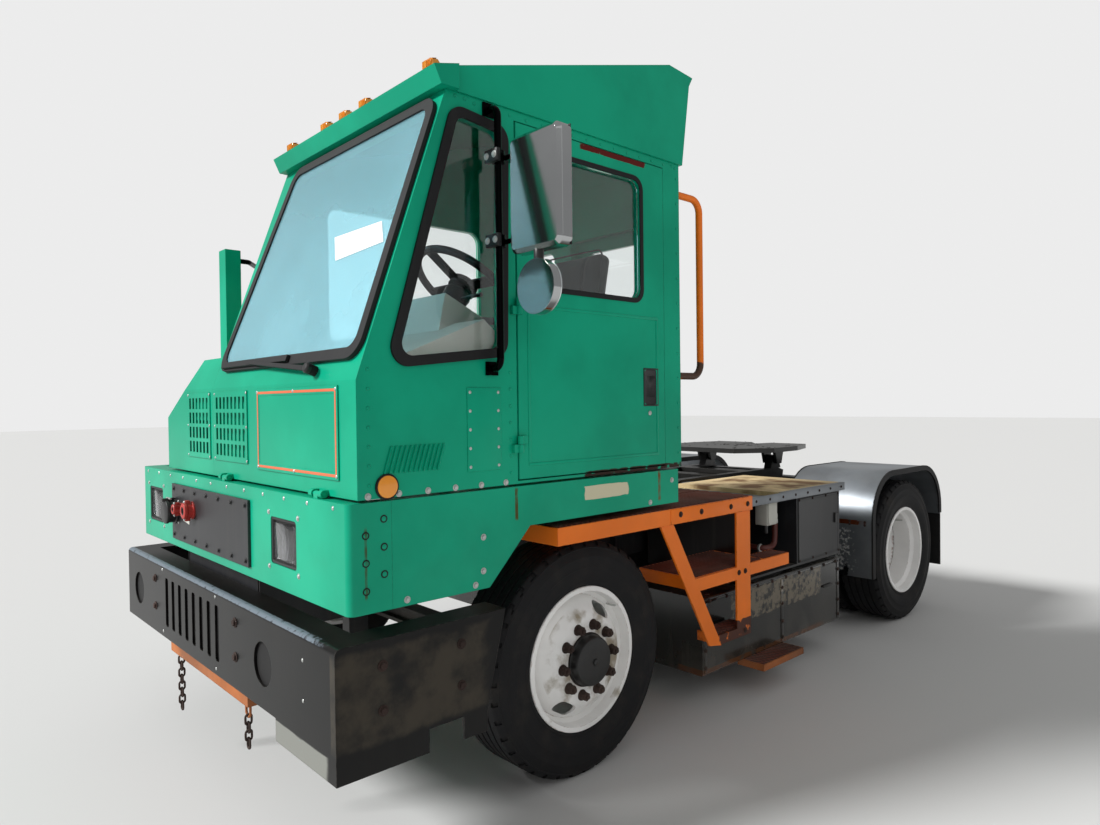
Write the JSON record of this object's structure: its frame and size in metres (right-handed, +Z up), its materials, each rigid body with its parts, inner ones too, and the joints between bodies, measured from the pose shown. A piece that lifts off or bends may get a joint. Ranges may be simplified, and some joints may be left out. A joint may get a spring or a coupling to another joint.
{
  "type": "terminal tractor",
  "caption": "Low-cab terminal tractor with a tilting one-seat cab, side walkway and ladder, twin rear wheels and a lifting fifth wheel for moving semi-trailers in a yard.",
  "frame": {"origin": "on the ground under the middle of the overall box", "axes": "+Y towards the rear, +X to the vehicle's left, +Z up"},
  "size_m": [3.32, 4.96, 3.031],
  "materials": {
    "green_paint": "gloss, faded and dusty",
    "orange_paint": "worn gloss",
    "black_steel": "satin black, dusty, rust at the edges",
    "gloss_black": "gloss black, scuffed",
    "wheel_white": "gloss white, rust stained",
    "tyre_rubber": "dusty black",
    "black_rubber": "matte",
    "window_glass": "clear, faint green tint",
    "lamp_glass": "clear lens over a silver bowl",
    "amber_lens": "fluted amber",
    "red_lens": "red lens",
    "mirror_steel": "polished back",
    "galvanised": "dull zinc, dusty",
    "grease_steel": "black and greasy",
    "axle_iron": "dull, dusty",
    "rod_chrome": "ground chrome",
    "rust_beam": "worn orange over rust",
    "seat_cloth": "dark woven cloth",
    "dash_plastic": "light grey, grained",
    "deck_wood": "weathered board"
  },
  "bodies": {
    "chassis": {"frame": "black_steel", "front_bumper": "black_steel", "tow_beam": "rust_beam", "front_fascia": "green_paint", "side_skirts": "green_paint", "headlamps": "lamp_glass", "service_plate": "black_steel", "mirror_post": "green_paint", "mirror_right": "mirror_steel", "walkway": "orange_paint", "step_ladder": "orange_paint", "low_step": "black_steel", "battery_boxes": "gloss_black", "equipment_cabinet": "black_steel", "deck_board": "deck_wood", "air_tanks": "black_steel", "drive_motor": "axle_iron", "rear_fenders": "galvanised", "mud_flaps": "black_rubber", "tail_lamps": "red_lens", "front_axle": "axle_iron", "rear_axle": "axle_iron"},
    "tilting_cab": {"cab_shell": "green_paint", "cab_roof": "green_paint", "marker_lamps": "amber_lens", "hood": "green_paint", "grille_plates": "green_paint", "cover_panel": "green_paint", "cab_glass": "window_glass", "window_rubbers": "black_rubber", "mirror_left": "mirror_steel", "grab_rail": "orange_paint", "wiper": "black_rubber", "seat": "seat_cloth", "dash_console": "dash_plastic", "steering_wheel": "black_rubber"},
    "door_side": {"side_door": "green_paint", "door_glass": "window_glass"},
    "door_rear": {"rear_door": "green_paint", "rear_door_glass": "window_glass"},
    "steer_left": {"knuckle_left": "axle_iron"},
    "steer_right": {"knuckle_right": "axle_iron"},
    "roll_front_left": {"tyre_front_left": "tyre_rubber", "wheel_front_left": "wheel_white"},
    "roll_front_right": {"tyre_front_right": "tyre_rubber", "wheel_front_right": "wheel_white"},
    "roll_rear_left": {"tyres_rear_left": "tyre_rubber", "wheels_rear_left": "wheel_white"},
    "roll_rear_right": {"tyres_rear_right": "tyre_rubber", "wheels_rear_right": "wheel_white"},
    "boom": {"lift_boom": "grease_steel"},
    "coupler": {"coupler_plate": "grease_steel"},
    "barrels": {"lift_cylinders": "black_steel"},
    "rods": {"lift_rods": "rod_chrome"}
  },
  "joints": [
    {"name": "cab_tilt", "type": "hinge", "parent": "chassis", "child": "tilting_cab", "pos_m": [0, -2.4, 1.262], "axis": [1, 0, 0], "range_deg": [0, 45]},
    {"name": "side_door_swing", "type": "hinge", "parent": "tilting_cab", "child": "door_side", "pos_m": [1.314, -1.74, 1.9], "axis": [0, 0, -1], "range_deg": [0, 80]},
    {"name": "rear_door_slide", "type": "slide", "parent": "tilting_cab", "child": "door_rear", "axis": [-1, 0, 0], "range_m": [0, 0.55]},
    {"name": "steer_left_turn", "type": "hinge", "parent": "chassis", "child": "steer_left", "pos_m": [0.9, -1.3, 0.485], "axis": [0, 0, 1], "range_deg": [-30, 30]},
    {"name": "steer_right_turn", "type": "hinge", "parent": "chassis", "child": "steer_right", "pos_m": [-0.9, -1.3, 0.485], "axis": [0, 0, 1], "range_deg": [-30, 30]},
    {"name": "front_left_roll", "type": "hinge", "parent": "steer_left", "child": "roll_front_left", "pos_m": [1.065, -1.3, 0.485], "axis": [1, 0, 0], "continuous": true},
    {"name": "front_right_roll", "type": "hinge", "parent": "steer_right", "child": "roll_front_right", "pos_m": [-1.065, -1.3, 0.485], "axis": [1, 0, 0], "continuous": true},
    {"name": "rear_left_roll", "type": "hinge", "parent": "chassis", "child": "roll_rear_left", "pos_m": [0.915, 1.9, 0.485], "axis": [1, 0, 0], "continuous": true},
    {"name": "rear_right_roll", "type": "hinge", "parent": "chassis", "child": "roll_rear_right", "pos_m": [-0.915, 1.9, 0.485], "axis": [1, 0, 0], "continuous": true},
    {"name": "boom_lift", "type": "hinge", "parent": "chassis", "child": "boom", "pos_m": [0, 0.48, 0.975], "axis": [1, 0, 0], "range_deg": [0, 20]},
    {"name": "coupler_tilt", "type": "hinge", "parent": "boom", "child": "coupler", "pos_m": [0, 1.65, 1.098], "axis": [1, 0, 0], "range_deg": [-10, 10]},
    {"name": "cylinder_swing", "type": "hinge", "parent": "chassis", "child": "barrels", "pos_m": [0, 1.15, 0.56], "axis": [1, 0, 0], "range_deg": [0, 13.2]},
    {"name": "cylinder_stroke", "type": "slide", "parent": "barrels", "child": "rods", "axis": [0, 0.4175, 0.9087], "range_m": [0, 0.267]}
  ],
  "couplings": [
    {"joint": "steer_right_turn", "follows": "steer_left_turn", "ratio": 1},
    {"joint": "cylinder_swing", "follows": "boom_lift", "ratio": 0.657},
    {"joint": "cylinder_stroke", "follows": "boom_lift", "m_per_rad": 0.763}
  ]
}
